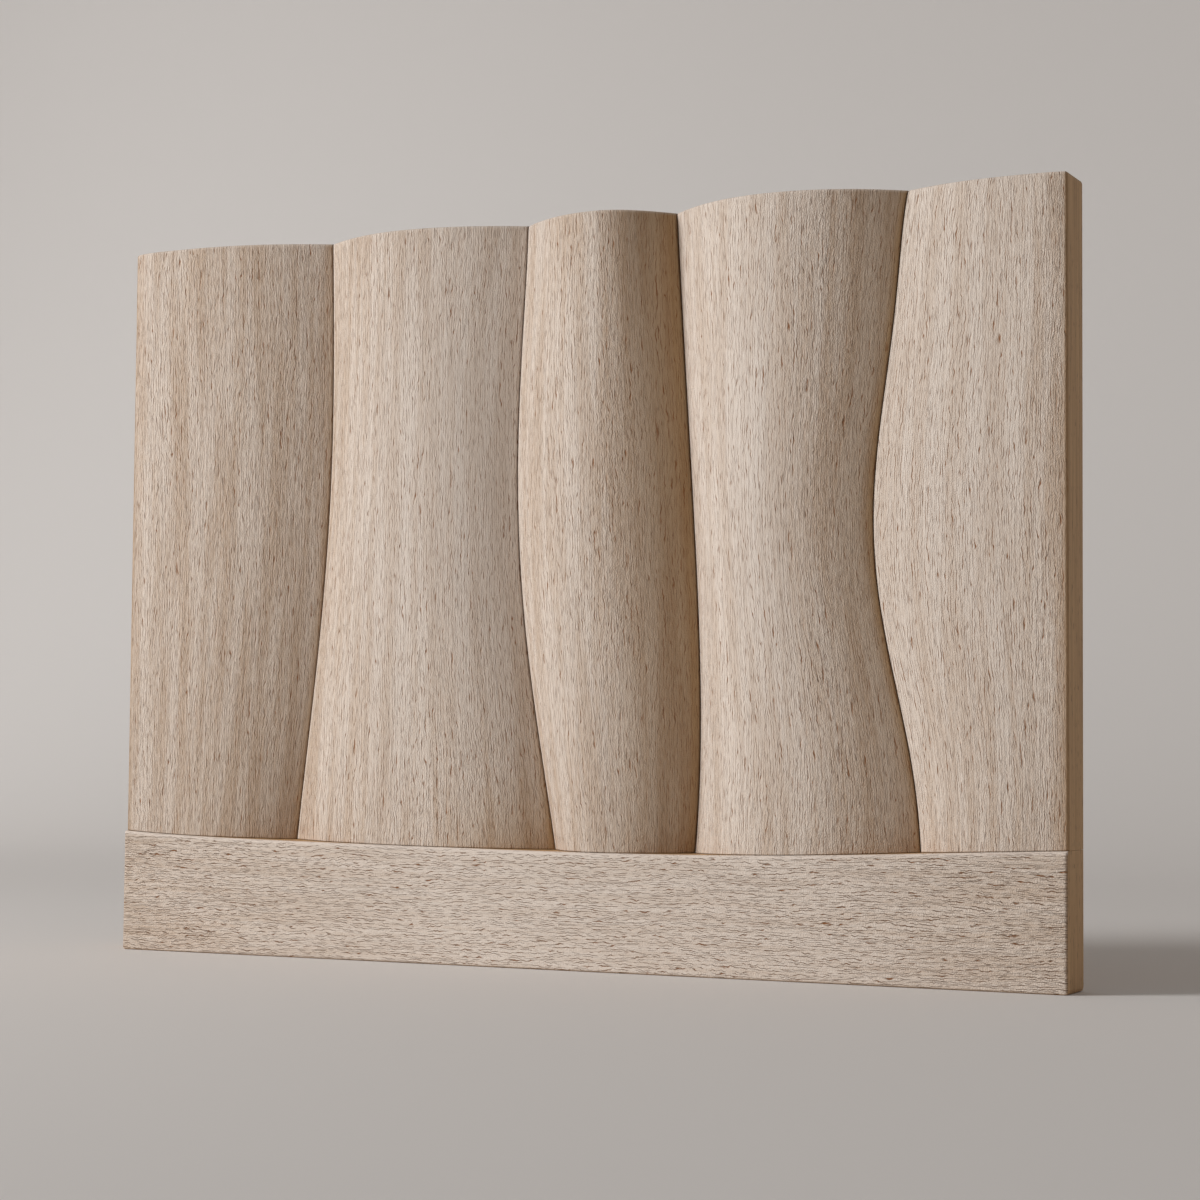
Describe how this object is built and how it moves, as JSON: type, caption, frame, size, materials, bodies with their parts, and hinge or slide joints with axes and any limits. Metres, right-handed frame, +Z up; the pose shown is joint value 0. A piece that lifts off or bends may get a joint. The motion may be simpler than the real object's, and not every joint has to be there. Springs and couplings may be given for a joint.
{
  "type": "carved wall panel",
  "caption": "Flat-backed oak wall panel: upright swells carved in one slab meet in curving valleys, over a plain foot rail with a hollow top edge.",
  "frame": {"origin": "middle of the panel's flat back, where it is fixed to the wall", "axes": "+X along the panel's width, to the right as a viewer facing the carving sees it; +Y out of the back, into the wall; +Z up"},
  "size_m": [0.9, 0.0635, 0.65],
  "materials": {
    "carved_oak": "brushed and limed oak, dull, upright grain",
    "rail_oak": "brushed and limed oak, dull, grain along the rail"
  },
  "bodies": {
    "root": {"carved_field": "carved_oak", "foot_rail": "rail_oak"}
  },
  "joints": []
}
